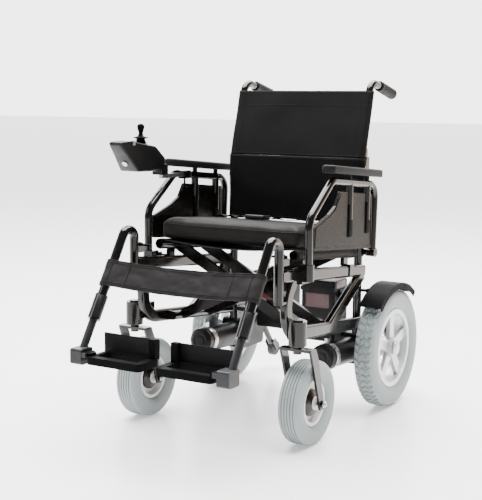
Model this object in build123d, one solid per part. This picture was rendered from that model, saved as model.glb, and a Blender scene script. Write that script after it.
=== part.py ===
from build123d import *
import os
from math import atan2, cos, degrees, radians, sin, sqrt, tan

# Folding power wheelchair.
# Millimetres, +Z up, -Y the way the occupant faces, +X the occupant's left.
# The chair is laid out from the drive axle (y = 0, floor at z = 0) and is moved
# at the end so that the origin lies on the floor under the middle of its box.

# ---------------------------------------------------------------- overall sizes
DRIVE_TYRE_R = 177.0        # 14 x 3 drive tyre
DRIVE_TYRE_W = 66.0
DRIVE_WHEEL_X = 281.0       # centre plane of a drive wheel
CASTER_TYRE_R = 113.0       # 9 x 2.75 front tyre
CASTER_TYRE_W = 66.0
CASTER_X = 261.0            # swivel stem
CASTER_Y = -536.0
CASTER_TRAIL = 60.0
FRAME_X = 228.0             # centre plane of a side frame
FRAME_RAKE = 5.0            # degrees, front end up
POST_X = 214.0              # rear upright, cane and push handle
POST_Y = -74.0
HANDLE_Z = 956.0            # axis of the handle bend
ARM_X = 257.0               # centre plane of an armrest
ARM_RISE = 689.0            # axis of the arm's top tube at its front bend
CLEAR = 0.3                 # gap between parts that only lie on each other
RUN = 0.05                  # radial running clearance of shafts and pins
WALL = 2.0                  # tube wall

# ---------------------------------------------------------------- side frame
RAIL_W = 22.0               # across the chair
RAIL_D = 34.0               # depth of the upper rail
LOWER_D = 36.0              # depth of bow, lower rail and diagonal
RAIL_ROUND = 7.0
PIVOT_Z = 290.0             # lower pivot of the cross brace, at PIVOT_Y
PIVOT_Y = -430.0
PIVOT_X = 196.0
UPPER_RAIL_UP = 155.0       # upper rail above the pivot line, square to it
SEAT_TUBE_UP = 207.0        # seat tube above the pivot line
SEAT_TUBE_X = 215.0
RAIL_END = -60.0            # rear end of the lower rail
POST_R = 12.7
POST_TOP = 737.0
POST_BOTTOM = 225.0
HOUSING_R = 24.0
HOUSING_BOTTOM = 276.0
HOUSING_TOP = 341.0
STEM_R = 8.0

# ---------------------------------------------------------------- wheels, drive
DRIVE_RIM_R = 117.0
CASTER_RIM_R = 62.0
AXLE_R = 8.5
CASTER_AXLE_R = 5.0
FORK_BAR_W = 33.0
FORK_BAR_T = 7.0
FORK_GAP = 7.0              # tyre side to fork leg
MOTOR_X = 205.0
MOTOR_R = 37.0
MOTOR_FRONT = -281.0
GEARBOX_REAR = 45.0
GUARD_GAP = 17.0            # tyre to mudguard
GUARD_T = 3.0

# ---------------------------------------------------------------- seat, back
BRACE_W = 30.0
BRACE_T = 16.0
BRACE_FRONT = -400.0
BRACE_REAR = -262.0
TUBE_R = 12.7
SEAT_FRONT = -500.0
SEAT_REAR = -127.0
CUSHION_T = 50.0
CUSHION_W = 468.0
CANE_R = 11.0
BACK_T = 14.0
FOLD_MAX = 38.0

# ---------------------------------------------------------------- front rigging
HANGER_X = 228.0
HANGER_Y = -582.0
HANGER_LOW = 392.0
HANGER_TOP = 552.0
LEG_LEAN = 31.5             # degrees forward from straight down
LEG_FOOT_Y = -811.0         # leg axis where it meets the footplate
CALF_STRAP_UP = 224.0       # middle of the calf strap above the foot
CALF_STRAP_T = 5.0
PLATE_Z = 250.0
PLATE_HINGE_X = 199.0
PLATE_INNER_X = 22.0
PLATE_FRONT = -843.0
PLATE_REAR = -752.0

# ---------------------------------------------------------------- rear end
TIP_Y = 215.0
TIP_R = 25.0
TIP_Z = 72.0

# ---------------------------------------------------------------- batteries
BATTERY_INNER = 50.0
BATTERY_OUTER = 160.0
BATTERY_LOW = 195.0
BATTERY_TOP = 380.0
BATTERY_DEPTH = 92.0
LEFT_BATTERY_FRONT = -118.0
BATTERY_STAGGER = 96.0      # the right case lies this far behind the left one

TILT = tan(radians(FRAME_RAKE))
CHAIR_REAR = TIP_Y + TIP_R
SHIFT = Pos(0, -(PLATE_FRONT + CHAIR_REAR) / 2, 0)
SIDES = {"left": 1, "right": -1}

os.makedirs("parts", exist_ok=True)


def save(name, shape):
    """Write one sub-part in the finished frame."""
    export_step(SHIFT * shape, f"parts/{name}.step")


def raked(shape):
    """Turn a shape that was drawn along level rails onto the raked frame."""
    return Pos(0, PIVOT_Y, PIVOT_Z) * Rot(-FRAME_RAKE, 0, 0) * Pos(0, -PIVOT_Y, -PIVOT_Z) * shape


def rail_z(up, y):
    """Height of a raked line that lies `up` above the brace pivot line."""
    return PIVOT_Z + up / cos(radians(FRAME_RAKE)) - (y - PIVOT_Y) * TILT


def block(x0, x1, y0, y1, z0, z1):
    """Box between two corners."""
    size = Box(abs(x1 - x0), abs(y1 - y0), abs(z1 - z0))
    return Pos((x0 + x1) / 2, (y0 + y1) / 2, (z0 + z1) / 2) * size


def rod(start, end, radius):
    """Round bar from one point to another."""
    line = Line(start, end)
    return extrude(Plane(origin=line @ 0, z_dir=line % 0) * Circle(radius), line.length)


def route(points, bend):
    """Straight runs joined by arcs."""
    if len(points) == 2:
        return Line(*points)
    return FilletPolyline(*points, radius=bend)


def pipe(points, bend, radius, wall=0.0):
    """Round tube along straight runs joined by arcs."""
    path = route(points, bend)
    section = Circle(radius)
    if wall:
        section -= Circle(radius - wall)
    return sweep(Plane(origin=path @ 0, z_dir=path % 0) * section, path)


def flat_bar(points, bend, width, depth, radius):
    """Flat-sided tube whose bends lie in a fore-and-aft plane."""
    path = route(points, bend)
    section = RectangleRounded(width, depth, radius)
    return sweep(Plane(origin=path @ 0, x_dir=(1, 0, 0), z_dir=path % 0) * section, path)


def side_plate(x, thickness, points, radius=0.0):
    """Plate in a fore-and-aft plane, from (y, z) corners, centred on x."""
    outline = Plane.YZ * make_face(Polyline(*points, close=True))
    if radius:
        outline = fillet(outline.vertices(), radius)
    return Pos(x - thickness / 2, 0, 0) * extrude(outline, thickness, dir=(1, 0, 0))


def side_disc(x0, x1, y, z, radius):
    """Round bar across the chair."""
    return rod((x0, y, z), (x1, y, z), radius)


def turned(profile, x, y, z):
    """Body of revolution about an axle across the chair, from (x, radius) corners."""
    face = Plane.XZ * make_face(Polyline(*profile, close=True))
    return Pos(x, y, z) * revolve(face, Axis.X)


# ---------------------------------------------------------------- shared places
REAR_RUN = POST_Y + 4.0
ARM_PIVOT = (REAR_RUN - 2.0, 470.0)
ARM_POST_Y = -474.0
SOCKET_LOW = 436.0
SOCKET_HIGH = 480.0
SOCKET_CLEAR = 1.0
ARM_TUBE_R = 11.0
BACK_HINGE = (POST_Y + POST_R + 4.0, POST_TOP + 1.0)
HINGE_PIN_R = 4.0
LATCH_PIN = (POST_Y + POST_R + 9.0, POST_TOP - 54.0)
BRACE_ANGLE = degrees(atan2(SEAT_TUBE_UP, PIVOT_X + SEAT_TUBE_X))
LEG_DIR = (0, -sin(radians(LEG_LEAN)), -cos(radians(LEG_LEAN)))
STEM_TOP = HOUSING_TOP + 4.0


def leg_point(up):
    """Point on the footrest leg's axis, a given length up from its foot."""
    return (HANGER_X, LEG_FOOT_Y - LEG_DIR[1] * up, PLATE_Z - LEG_DIR[2] * up)


# ================================================================ side frames
def frame_rails():
    """Welded rails of one side, drawn level on the left."""
    upper_z = PIVOT_Z + UPPER_RAIL_UP
    upper = flat_bar([(FRAME_X, -575, upper_z), (FRAME_X, -86, upper_z)], 0, RAIL_W, RAIL_D, RAIL_ROUND)
    bow = flat_bar(
        [
            (FRAME_X, -516, upper_z - 6),
            (FRAME_X, -551, PIVOT_Z + 95),
            (FRAME_X, -534, PIVOT_Z),
            (FRAME_X, RAIL_END, PIVOT_Z),
        ],
        (70, 62), RAIL_W, LOWER_D, RAIL_ROUND,
    )
    diagonal = flat_bar(
        [(FRAME_X, -290, PIVOT_Z + 4), (FRAME_X, -96, upper_z - 12)], 0, RAIL_W, LOWER_D, RAIL_ROUND
    )
    return raked(upper + bow + diagonal)


def brace_lugs():
    """Ears and pins that carry the lower pivot tube, level, on the left."""
    inner = FRAME_X - RAIL_W / 2 + 1
    lugs = []
    for y, way in ((PIVOT_Y - 8, 1), (SEAT_REAR - 2, -1)):
        ear = block(PIVOT_X, inner, y - 3, y + 3, PIVOT_Z - 13, PIVOT_Z + 13)
        ear += rod((PIVOT_X, y - 3, PIVOT_Z), (PIVOT_X, y + 3, PIVOT_Z), 13)
        ear += rod((PIVOT_X, y, PIVOT_Z), (PIVOT_X, y + way * 30, PIVOT_Z), TUBE_R - WALL - RUN)
        lugs.append(ear)
    return raked(lugs[0] + lugs[1])


def caster_housing():
    """Bearing tube for the caster stem with its gusset to the bow."""
    tube = rod((CASTER_X, CASTER_Y, HOUSING_BOTTOM), (CASTER_X, CASTER_Y, HOUSING_TOP), HOUSING_R)
    tube += block(FRAME_X + 8, CASTER_X - 12, CASTER_Y - 12, CASTER_Y + 62, 292, 334)
    bore = rod((CASTER_X, CASTER_Y, HOUSING_BOTTOM - 1), (CASTER_X, CASTER_Y, HOUSING_TOP + 1), STEM_R + RUN)
    return tube - bore


def rear_upright():
    """Rear post with the two hinge cheeks of the folding back."""
    post = rod((POST_X, POST_Y, POST_BOTTOM), (POST_X, POST_Y, POST_TOP), POST_R)
    post += block(POST_X - POST_R - 1, POST_X + POST_R + 1, POST_Y - 4, POST_Y + 4, POST_TOP - 62, POST_TOP)
    post -= rod((POST_X, POST_Y, POST_BOTTOM + 20), (POST_X, POST_Y, POST_TOP + 1), POST_R - WALL)
    y, z = BACK_HINGE
    for side in (-1, 1):
        cheek = side_plate(
            POST_X + side * (POST_R + 2), 4,
            [(POST_Y - 8, POST_TOP - 62), (y + 10, POST_TOP - 62), (y + 10, z + 9), (y - 8, z + 9)], 3,
        )
        post += cheek
    post += side_disc(POST_X - POST_R - 4, POST_X + POST_R + 4, y, z, HINGE_PIN_R)
    latch_y, latch_z = LATCH_PIN
    post += side_disc(POST_X - POST_R - 4, POST_X + POST_R + 4, latch_y, latch_z, 2)
    bolt_z = POST_TOP - 20
    post += side_disc(POST_X - POST_R - 4, POST_X + POST_R + 4, POST_Y, bolt_z, 4)
    return post


def arm_brackets():
    """Front drop-in socket and rear pivot cheek of the armrest."""
    socket = rod((ARM_X, ARM_POST_Y, SOCKET_LOW), (ARM_X, ARM_POST_Y, SOCKET_HIGH), ARM_TUBE_R + 4)
    hole = ARM_TUBE_R + SOCKET_CLEAR
    socket += block(FRAME_X + 6, ARM_X - hole + 2, ARM_POST_Y - 16, ARM_POST_Y + 34, 428, 474)
    socket += block(FRAME_X + 6, ARM_X - 2, ARM_POST_Y - 16, ARM_POST_Y + 16, SOCKET_LOW, SOCKET_HIGH)
    socket -= rod((ARM_X, ARM_POST_Y, SOCKET_LOW + 4), (ARM_X, ARM_POST_Y, SOCKET_HIGH + 1), hole)
    y, z = ARM_PIVOT
    collar = rod((POST_X, POST_Y, z - 14), (POST_X, POST_Y, z + 14), POST_R + 4)
    arm = block(POST_X, ARM_X - 15, y - 9, y + 9, z - 9, z + 9)
    pin = side_disc(ARM_X - 16, ARM_X + 13, y, z, 5)
    inside = rod((POST_X, POST_Y, z - 15), (POST_X, POST_Y, z + 15), POST_R - 1)
    return socket + ((collar + arm) - inside) + pin


def hanger_receivers():
    """Lower pin and upper saddle that the swing-away hanger hangs on."""
    plate_z = HANGER_LOW - CLEAR
    shelf = block(HANGER_X - 9, HANGER_X + 9, HANGER_Y - 9, -548, plate_z - 6, plate_z)
    pin_r = TUBE_R - WALL - RUN
    pin = rod((HANGER_X, HANGER_Y, plate_z - 6), (HANGER_X, HANGER_Y, HANGER_LOW + 36), pin_r)
    foot = rod((HANGER_X, HANGER_Y, plate_z - 6), (HANGER_X, HANGER_Y, plate_z), TUBE_R)
    saddle = block(HANGER_X - 14, HANGER_X + 14, HANGER_Y + 2, -556, 446, 470)
    seat = rod((HANGER_X, HANGER_Y, 440), (HANGER_X, HANGER_Y, 480), TUBE_R + CLEAR)
    return shelf + pin + foot + (saddle - seat)


def seat_clips():
    """S-shaped straps on the rail's outer face that cradle the seat tube."""
    clips = []
    under = PIVOT_Z + SEAT_TUBE_UP - TUBE_R - CLEAR
    rail_top = PIVOT_Z + UPPER_RAIL_UP + RAIL_D / 2
    for y in (-440, -186):
        clip = block(FRAME_X + 10, FRAME_X + 14, y - 13, y + 13, rail_top - 28, rail_top + 4)
        clip += block(SEAT_TUBE_X + 2, FRAME_X + 14, y - 13, y + 13, rail_top - 1, rail_top + 4)
        clip += block(SEAT_TUBE_X - 6, SEAT_TUBE_X + 6, y - 13, y + 13, rail_top - 1, under)
        clips.append(clip)
    return raked(clips[0] + clips[1])


def side_frame():
    frame = frame_rails() + brace_lugs() + caster_housing() + rear_upright()
    frame += arm_brackets()
    frame += hanger_receivers()
    frame += seat_clips()
    return frame


# ================================================================ drive and wheels
def motor_axis(y):
    return DRIVE_TYRE_R + (-y - 60) * 0.045


def drive_motor():
    """Worm gearbox at the axle with the motor along the frame in front of it."""
    front = (MOTOR_X, MOTOR_FRONT, motor_axis(MOTOR_FRONT))
    rear = (MOTOR_X, -70, motor_axis(-70))
    body = fillet(rod(front, rear, MOTOR_R).edges(), 4)
    box = block(172, 244, POST_Y - 20, GEARBOX_REAR, DRIVE_TYRE_R - 46, POST_BOTTOM)
    box = fillet(box.edges().filter_by(Axis.X), 14)
    unit = body + box
    return unit - side_disc(200, 245, 0, DRIVE_TYRE_R, AXLE_R + RUN)


def drive_tyre():
    half = DRIVE_TYRE_W / 2
    section = Plane.XZ * make_face(
        Polyline(
            (-half + 10, DRIVE_RIM_R), (half - 10, DRIVE_RIM_R), (half, DRIVE_RIM_R + 22),
            (half - 6, DRIVE_TYRE_R - 10), (half - 18, DRIVE_TYRE_R), (18 - half, DRIVE_TYRE_R),
            (6 - half, DRIVE_TYRE_R - 10), (-half, DRIVE_RIM_R + 22), close=True,
        )
    )
    section = fillet(section.vertices(), 5)
    return Pos(DRIVE_WHEEL_X, 0, DRIVE_TYRE_R) * revolve(section, Axis.X)


def drive_rim():
    """Five-spoke rim with its hub and the output shaft that turns it, on the left."""
    half = DRIVE_TYRE_W / 2 - 9
    band = turned(
        [(-half, DRIVE_RIM_R - 14), (half, DRIVE_RIM_R - 14), (half, DRIVE_RIM_R), (-half, DRIVE_RIM_R)],
        0, 0, 0,
    )
    hub = side_disc(-26, 26, 0, 0, 30)
    spokes = band + hub
    for number in range(5):
        spoke = block(4, 16, -15, 15, 20, DRIVE_RIM_R - 8)
        spokes += Rot(72 * number, 0, 0) * spoke
    shaft = side_disc(206 - DRIVE_WHEEL_X, 30, 0, 0, AXLE_R)
    return Pos(DRIVE_WHEEL_X, 0, DRIVE_TYRE_R) * (spokes + shaft)


def guard_arc(radius, start, end):
    """Points of an arc about the drive axle, in (y, z)."""
    return [
        (radius * cos(radians(angle)), DRIVE_TYRE_R + radius * sin(radians(angle)))
        for angle in (start, (start + end) / 2, end)
    ]


def mudguard():
    """Curved cover over the drive wheel with its stay to the rear post."""
    inner = DRIVE_TYRE_R + GUARD_GAP
    outer = inner + GUARD_T
    start, end = 52, 134
    low = guard_arc(inner, start, end)
    high = guard_arc(outer, start, end)
    edge = ThreePointArc(*low) + Line(low[2], high[2]) + ThreePointArc(*high) + Line(high[0], low[0])
    shell = Pos(250, 0, 0) * extrude(Plane.YZ * make_face(edge), 68, dir=(1, 0, 0))
    rim_low = guard_arc(inner - 14, start, end)
    skirt = ThreePointArc(*rim_low) + Line(rim_low[2], high[2]) + ThreePointArc(*high)
    skirt += Line(high[0], rim_low[0])
    shell += Pos(316, 0, 0) * extrude(Plane.YZ * make_face(skirt), 3, dir=(1, 0, 0))
    stay = block(POST_X + POST_R - 1, 252, POST_Y - 10, POST_Y + 10, 352, 358)
    stay -= rod((POST_X, POST_Y, 340), (POST_X, POST_Y, 370), POST_R)
    upright = block(246, 252, POST_Y - 10, POST_Y + 10, 352, DRIVE_TYRE_R + sqrt(inner**2 - 64**2) + 1)
    return shell + stay + upright


def caster_fork():
    """Flat bar bent over the wheel, with the stem that turns in the housing."""
    half = CASTER_TYRE_W / 2 + FORK_GAP + FORK_BAR_T / 2
    crown_z = HOUSING_BOTTOM - 6 - FORK_BAR_T / 2
    crown = Box(2 * half + FORK_BAR_T, FORK_BAR_W, FORK_BAR_T)
    crown = fillet(crown.edges().filter_by(Axis.Z), 9)
    fork = Pos(CASTER_X, CASTER_Y, crown_z) * crown
    axle_y = CASTER_Y + CASTER_TRAIL
    for side in (-1, 1):
        leg = side_plate(
            CASTER_X + side * half, FORK_BAR_T,
            [
                (CASTER_Y - 15, crown_z + 3), (CASTER_Y + 16, crown_z + 3),
                (CASTER_Y + 30, crown_z - 25), (axle_y + 12, CASTER_TYRE_R - 14),
                (axle_y - 12, CASTER_TYRE_R - 14), (CASTER_Y - 3, crown_z - 25),
            ],
            3,
        )
        fork += leg
    fork += rod((CASTER_X, CASTER_Y, crown_z - 9), (CASTER_X, CASTER_Y, STEM_TOP), STEM_R)
    fork += rod((CASTER_X, CASTER_Y, crown_z), (CASTER_X, CASTER_Y, HOUSING_BOTTOM - CLEAR), 12)
    fork += rod((CASTER_X, CASTER_Y, crown_z - 12), (CASTER_X, CASTER_Y, crown_z), 11)
    cap = rod((CASTER_X, CASTER_Y, HOUSING_TOP + CLEAR), (CASTER_X, CASTER_Y, STEM_TOP), 14)
    fork += cap
    reach = half + FORK_BAR_T / 2 + 4
    fork += side_disc(CASTER_X - reach, CASTER_X + reach, axle_y, CASTER_TYRE_R, CASTER_AXLE_R)
    return fork


def caster_tyre():
    half = CASTER_TYRE_W / 2
    section = Plane.XZ * make_face(
        Polyline(
            (-half + 12, CASTER_RIM_R), (half - 12, CASTER_RIM_R), (half, CASTER_RIM_R + 22),
            (half - 9, CASTER_TYRE_R - 9), (half - 22, CASTER_TYRE_R), (22 - half, CASTER_TYRE_R),
            (9 - half, CASTER_TYRE_R - 9), (-half, CASTER_RIM_R + 22), close=True,
        )
    )
    section = fillet(section.vertices(), 5)
    return Pos(CASTER_X, CASTER_Y + CASTER_TRAIL, CASTER_TYRE_R) * revolve(section, Axis.X)


def caster_rim():
    half = CASTER_TYRE_W / 2 - 11
    profile = [
        (-half, CASTER_RIM_R), (-half, CASTER_RIM_R - 9), (-6, CASTER_RIM_R - 12), (-6, 22),
        (-half - 8, 18), (-half - 8, CASTER_AXLE_R + RUN), (half + 8, CASTER_AXLE_R + RUN),
        (half + 8, 18), (6, 22), (6, CASTER_RIM_R - 12), (half, CASTER_RIM_R - 9), (half, CASTER_RIM_R),
    ]
    return turned(profile, CASTER_X, CASTER_Y + CASTER_TRAIL, CASTER_TYRE_R)


def anti_tip_tube():
    """Rear stabiliser: from the lower rail over the gearbox and down behind the wheel."""
    start = PIVOT_Y + (RAIL_END - PIVOT_Y) * cos(radians(FRAME_RAKE))
    tube = pipe([(FRAME_X, start, rail_z(0, start)), (FRAME_X, 76, 246), (FRAME_X, TIP_Y, TIP_Z)], 60, 10)
    for side in (-1, 1):
        tube += side_plate(
            FRAME_X + side * 15, 3,
            [(TIP_Y - 31, TIP_Z + 26), (TIP_Y - 14, TIP_Z + 38), (TIP_Y + 8, TIP_Z + 2), (TIP_Y - 6, TIP_Z - 8)],
            3,
        )
    tube += side_disc(FRAME_X - 16.5, FRAME_X + 16.5, TIP_Y - 21, TIP_Z + 28, 6)
    tube -= side_disc(FRAME_X - 13.5, FRAME_X + 13.5, TIP_Y, TIP_Z, TIP_R + 2)
    return tube + side_disc(FRAME_X - 17, FRAME_X + 17, TIP_Y, TIP_Z, 4)


def anti_tip_wheel():
    wheel = side_disc(-12, 12, 0, 0, TIP_R)
    wheel = fillet(wheel.edges(), 5)
    return Pos(FRAME_X, TIP_Y, TIP_Z) * (wheel - side_disc(-13, 13, 0, 0, 4 + RUN))


# ================================================================ cross brace, seat
def cross_brace(offset, crossing):
    """Two arms from the lower pivot tube (left) to the seat tube (right), level.

    offset shifts the arms along the chair so that the two braces pass each other.
    """
    length = sqrt((PIVOT_X + SEAT_TUBE_X) ** 2 + SEAT_TUBE_UP**2)
    arms = []
    for y in (BRACE_FRONT + offset, BRACE_REAR + offset):
        bar = block(6, length - 6, y - BRACE_T / 2, y + BRACE_T / 2, -BRACE_W / 2, BRACE_W / 2)
        bar = Pos(PIVOT_X, 0, PIVOT_Z) * Rot(0, 180 + BRACE_ANGLE, 0) * bar
        arms.append(bar)
    first, last = PIVOT_Y - 4, SEAT_REAR - 6
    low = rod((PIVOT_X, first, PIVOT_Z), (PIVOT_X, last, PIVOT_Z), TUBE_R)
    high_z = PIVOT_Z + SEAT_TUBE_UP
    high = rod((-SEAT_TUBE_X, SEAT_FRONT, high_z), (-SEAT_TUBE_X, SEAT_REAR, high_z), TUBE_R)
    brace = low + high + arms[0] + arms[1]
    brace -= rod((PIVOT_X, first - 1, PIVOT_Z), (PIVOT_X, last + 1, PIVOT_Z), TUBE_R - WALL)
    brace -= rod((-SEAT_TUBE_X, SEAT_FRONT - 1, high_z), (-SEAT_TUBE_X, SEAT_REAR + 1, high_z), TUBE_R - WALL)
    cross_z = PIVOT_Z + SEAT_TUBE_UP * PIVOT_X / (PIVOT_X + SEAT_TUBE_X)
    for y in (BRACE_FRONT, BRACE_REAR):
        start, end = y - BRACE_T - 5, y + BRACE_T + 5
        if crossing == "bolt":
            brace += rod((0, start, cross_z), (0, end, cross_z), 6)
        else:
            brace -= rod((0, start, cross_z), (0, end, cross_z), 6 + RUN)
    return raked(brace)


def seat_sling():
    """Fabric stretched between the two seat tubes."""
    top = PIVOT_Z + SEAT_TUBE_UP + TUBE_R + CLEAR
    half = SEAT_TUBE_X + TUBE_R
    sheet = block(-half, half, SEAT_FRONT + 4, SEAT_REAR - 4, top, top + 3)
    sag = block(-SEAT_TUBE_X + 60, SEAT_TUBE_X - 60, SEAT_FRONT + 6, SEAT_REAR - 6, top - 14, top)
    return raked(sheet + sag)


def seat_cushion():
    low = PIVOT_Z + SEAT_TUBE_UP + TUBE_R + 4
    half = CUSHION_W / 2
    pad = block(-half, half, SEAT_FRONT + 2, SEAT_REAR - 2, low, low + CUSHION_T)
    return raked(fillet(pad.edges(), 14))


def seat_belt():
    """Two webbing straps over the cushion that meet in a buckle."""
    top = PIVOT_Z + SEAT_TUBE_UP + TUBE_R + 4 + CUSHION_T + CLEAR
    straps = []
    for side in (-1, 1):
        strap = Pos(side * 118, -236, top + 1) * Rot(0, 0, side * 35) * Box(200, 38, 2)
        straps.append(strap)
    buckle = Pos(0, -300, top + 6) * Box(64, 44, 12)
    return raked(straps[0] + straps[1] + fillet(buckle.edges(), 3))


# ================================================================ back
def upper_cane():
    """Reclined upper back tube that ends in the push handle."""
    y, z = BACK_HINGE
    path = [(POST_X, POST_Y, z + 3), handle_point(-16), handle_point(142)]
    lean = 60 / (HANDLE_Z + 12 - z)
    cane = pipe(path, 38, CANE_R, WALL)
    lug = block(POST_X - POST_R + 0.4, POST_X + POST_R - 0.4, POST_Y + 4, y + 7, z, z + 34)
    lug = fillet(lug.edges().filter_by(Axis.X), 5)
    lug -= rod((POST_X, POST_Y - 9 * lean, z - 9), (POST_X, POST_Y + 40 * lean, z + 40), CANE_R - 1)
    return (cane + lug) - side_disc(POST_X - 20, POST_X + 20, y, z, HINGE_PIN_R + RUN)


def handle_point(y):
    """Point on the axis of the push handle."""
    return (POST_X, y, HANDLE_Z + 12 - 36 * (y + 16) / 158)


def push_grip():
    grip = rod(handle_point(44), handle_point(147), 16)
    return fillet(grip.edges(), 4) - rod(handle_point(38), handle_point(142), CANE_R)


def back_panel(points, drop):
    """Upholstered panel across the canes, in front of the tubes."""
    half = POST_X + CANE_R + 3
    panel = side_plate(0, 2 * half, points, 4)
    return Pos(0, 0, drop) * panel


def back_upper():
    base, top = POST_TOP + 8, 938
    lean = 60 / (HANDLE_Z + 12 - BACK_HINGE[1])
    y0 = POST_Y - CANE_R - 3 + (base - BACK_HINGE[1]) * lean
    y1 = POST_Y - CANE_R - 3 + (top - BACK_HINGE[1]) * lean
    return back_panel([(y0 - BACK_T, base), (y0, base), (y1, top), (y1 - BACK_T, top)], 0)


def back_lower():
    y0 = POST_Y - POST_R - CLEAR
    return back_panel([(y0 - BACK_T, 560), (y0, 560), (y0, POST_TOP + 5), (y0 - BACK_T, POST_TOP + 5)], 0)


def back_latch():
    """Spring lever behind the post that frees the folding back."""
    y, z = LATCH_PIN
    lever = block(POST_X - 4, POST_X + 4, y + 8, y + 14, z - 24, z + 26)
    lever += block(POST_X - 4, POST_X + 4, y - 5, y + 10, z - 6, z + 6)
    return lever - side_disc(POST_X - 5, POST_X + 5, y, z, 2 + RUN)


# ================================================================ armrests
def arm_frame():
    """Bent tube of one flip-up armrest with the sleeves of its pad."""
    y, z = ARM_PIVOT
    slope = TILT * 0.95
    rear_z = ARM_RISE - (340 - 62) * slope
    tube = pipe(
        [
            (ARM_X, ARM_POST_Y, SOCKET_LOW + 5), (ARM_X, ARM_POST_Y - 2, 596),
            (ARM_X, -346, ARM_RISE + 4), (ARM_X, y + 8, rear_z + 2), (ARM_X, y, z),
        ],
        (50, 42, 40), ARM_TUBE_R, WALL,
    )
    tube += side_disc(ARM_X - 14, ARM_X + 12, y, z, 13)
    for sleeve_y in (-236, -120):
        top = ARM_RISE + 9 - (sleeve_y + 340) * slope
        tube += rod((ARM_X, sleeve_y, top - 110), (ARM_X, sleeve_y, top), 11)
        tube -= rod((ARM_X, sleeve_y, top - 104), (ARM_X, sleeve_y, top + 14), 7 + RUN)
    return tube - side_disc(ARM_X - 17, ARM_X + 14, y, z, 5 + RUN)


def side_panel():
    """Moulded skirt guard inside the arm tube."""
    panel = side_plate(
        ARM_X, 8,
        [
            (-456, 514), (-452, 578), (-404, 592), (-366, 604), (-326, 624), (-300, 662), (-90, 642),
            (-84, 484),
        ],
        6,
    )
    for sleeve_y in (-236, -120):
        panel -= rod((ARM_X, sleeve_y, 540), (ARM_X, sleeve_y, 700), 11)
    return panel


def arm_pad():
    """Padded rest on two posts that slide in the arm's sleeves."""
    slope = TILT * 0.95
    pad = block(-20, 20, -377, -44, 0, 22)
    pad = fillet(pad.edges().filter_by(Axis.X, reverse=True), 7)
    pad = Pos(ARM_X, 0, 716) * Pos(0, -377, 0) * Rot(-degrees(atan2(slope, 1)), 0, 0) * Pos(0, 377, 0) * pad
    for sleeve_y in (-236, -120):
        top = ARM_RISE + 9 - (sleeve_y + 340) * slope
        pad += rod((ARM_X, sleeve_y, top - 96), (ARM_X, sleeve_y, top + 24), 7)
    return pad


# ================================================================ front rigging
def hanger():
    """Bent footrest tube with its latch housing and grey clamp sleeve."""
    top = leg_point((HANGER_TOP - PLATE_Z) / cos(radians(LEG_LEAN)))
    foot = leg_point(92)
    tube = pipe(
        [(HANGER_X, HANGER_Y, HANGER_LOW), (HANGER_X, HANGER_Y, HANGER_TOP), top, foot],
        (25, 22), TUBE_R, WALL,
    )
    sleeve = rod(leg_point(92), leg_point(162), 17) - rod(leg_point(90), leg_point(164), TUBE_R - 1)
    latch = block(HANGER_X - 11, HANGER_X + 11, HANGER_Y + 4, HANGER_Y + 36, 486, 504)
    latch -= rod((HANGER_X, HANGER_Y, 480), (HANGER_X, HANGER_Y, 510), TUBE_R - 1)
    latch += rod((HANGER_X, HANGER_Y + 26, 500), (HANGER_X, HANGER_Y + 26, 514), 4)
    return tube + sleeve + latch


def hanger_lever():
    """Thumb lever that lets the hanger swing away."""
    boss = rod((HANGER_X, HANGER_Y + 26, 504.3), (HANGER_X, HANGER_Y + 26, 511), 10)
    arm = block(HANGER_X - 38, HANGER_X, HANGER_Y + 20, HANGER_Y + 32, 504.3, 509)
    hole = rod((HANGER_X, HANGER_Y + 26, 503), (HANGER_X, HANGER_Y + 26, 515), 4 + RUN)
    return boss + fillet(arm.edges().filter_by(Axis.Z), 5) - hole


def footrest_leg():
    """Inner tube that sets the leg length, with the fixed block of the footplate."""
    leg = rod(leg_point(0), leg_point(230), TUBE_R - WALL - RUN)
    side = HANGER_X + 14
    shoe = block(PLATE_HINGE_X + 7, side, PLATE_FRONT, PLATE_FRONT + 48, PLATE_Z - 27, PLATE_Z + 14)
    shoe = fillet(shoe.edges().filter_by(Axis.X), 6)
    for y in (PLATE_FRONT + 4, PLATE_FRONT + 40):
        shoe += block(PLATE_HINGE_X - 6, PLATE_HINGE_X + 8, y - 3, y + 3, PLATE_Z - 6, PLATE_Z + 6)
    shoe += rod((PLATE_HINGE_X, PLATE_FRONT + 2, PLATE_Z), (PLATE_HINGE_X, PLATE_FRONT + 42, PLATE_Z), 3.5)
    return leg + shoe


def footplate():
    """Open moulded footplate that turns up about a fore-and-aft pin."""
    low, high = PLATE_Z - 22, PLATE_Z - 2
    edge = PLATE_HINGE_X - 8
    plate = block(PLATE_INNER_X, edge, PLATE_FRONT, PLATE_REAR, low, high)
    plate = fillet(plate.edges().filter_by(Axis.Z), 12)
    plate -= block(PLATE_INNER_X + 22, edge - 14, PLATE_FRONT + 22, PLATE_REAR - 16, low - 1, high + 1)
    knuckle = block(edge - 8, PLATE_HINGE_X, PLATE_FRONT + 9, PLATE_FRONT + 35, high - 4, PLATE_Z + 5)
    knuckle += rod(
        (PLATE_HINGE_X, PLATE_FRONT + 9, PLATE_Z), (PLATE_HINGE_X, PLATE_FRONT + 35, PLATE_Z), 6.5
    )
    post = block(PLATE_INNER_X + 2, PLATE_INNER_X + 22, PLATE_REAR - 18, PLATE_REAR - 2, high - 2, high + 50)
    plate = plate + knuckle + post
    pin = (PLATE_HINGE_X, PLATE_FRONT - 1, PLATE_Z), (PLATE_HINGE_X, PLATE_FRONT + 45, PLATE_Z)
    return plate - rod(*pin, 3.5 + RUN)


def heel_loop():
    """Webbing strap behind the heel."""
    y = PLATE_REAR + CLEAR
    return block(PLATE_INNER_X + 2, PLATE_HINGE_X + 2, y, y + 3, PLATE_Z - 6, PLATE_Z + 46)


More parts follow.
